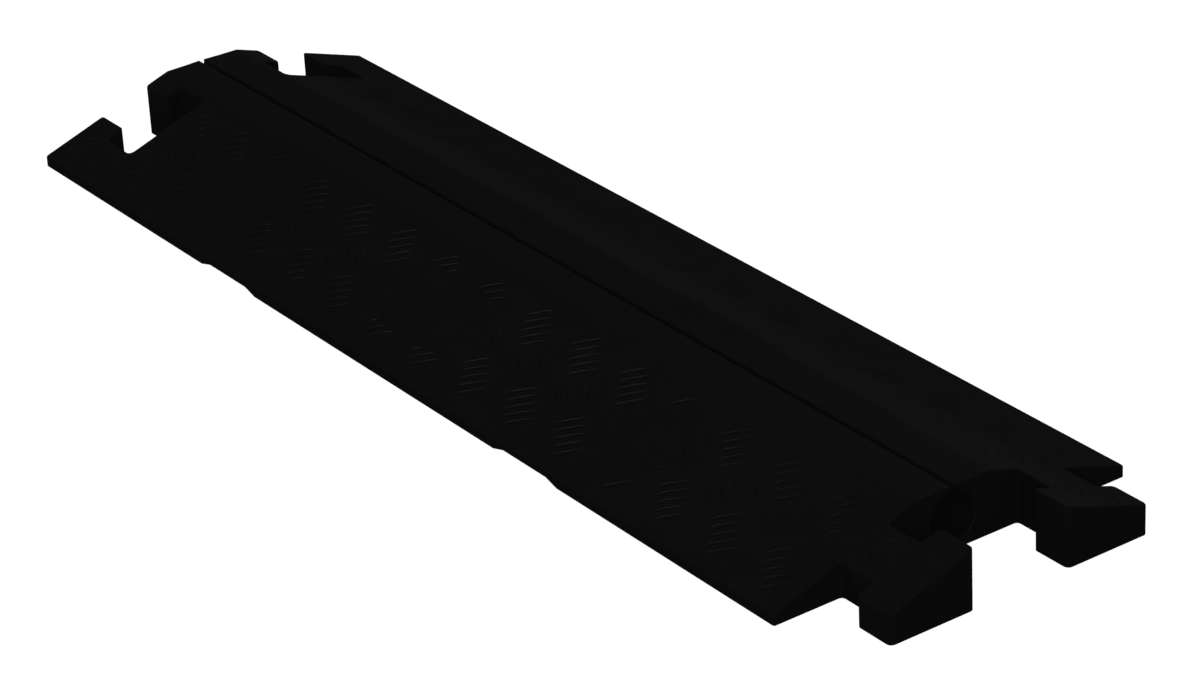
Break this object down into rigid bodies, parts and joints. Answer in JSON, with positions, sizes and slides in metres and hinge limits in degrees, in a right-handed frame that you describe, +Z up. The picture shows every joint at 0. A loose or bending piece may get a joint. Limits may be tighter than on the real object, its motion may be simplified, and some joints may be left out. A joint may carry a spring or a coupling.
{
  "type": "cable protector",
  "caption": "Low black floor cable protector with ramped sides, a slit round channel along its middle and T-shaped lugs and slots that join lengths end to end.",
  "frame": {"origin": "centre of the part's footprint, lugs included, on its underside", "axes": "+X along the length towards the two T-shaped lugs, +Y across the width, +Z up from the floor"},
  "size_m": [0.98, 0.292, 0.047],
  "materials": {
    "black_polyurethane": "moulded, fine matte grain"
  },
  "bodies": {
    "root": {"protector_body": "black_polyurethane"}
  },
  "joints": []
}
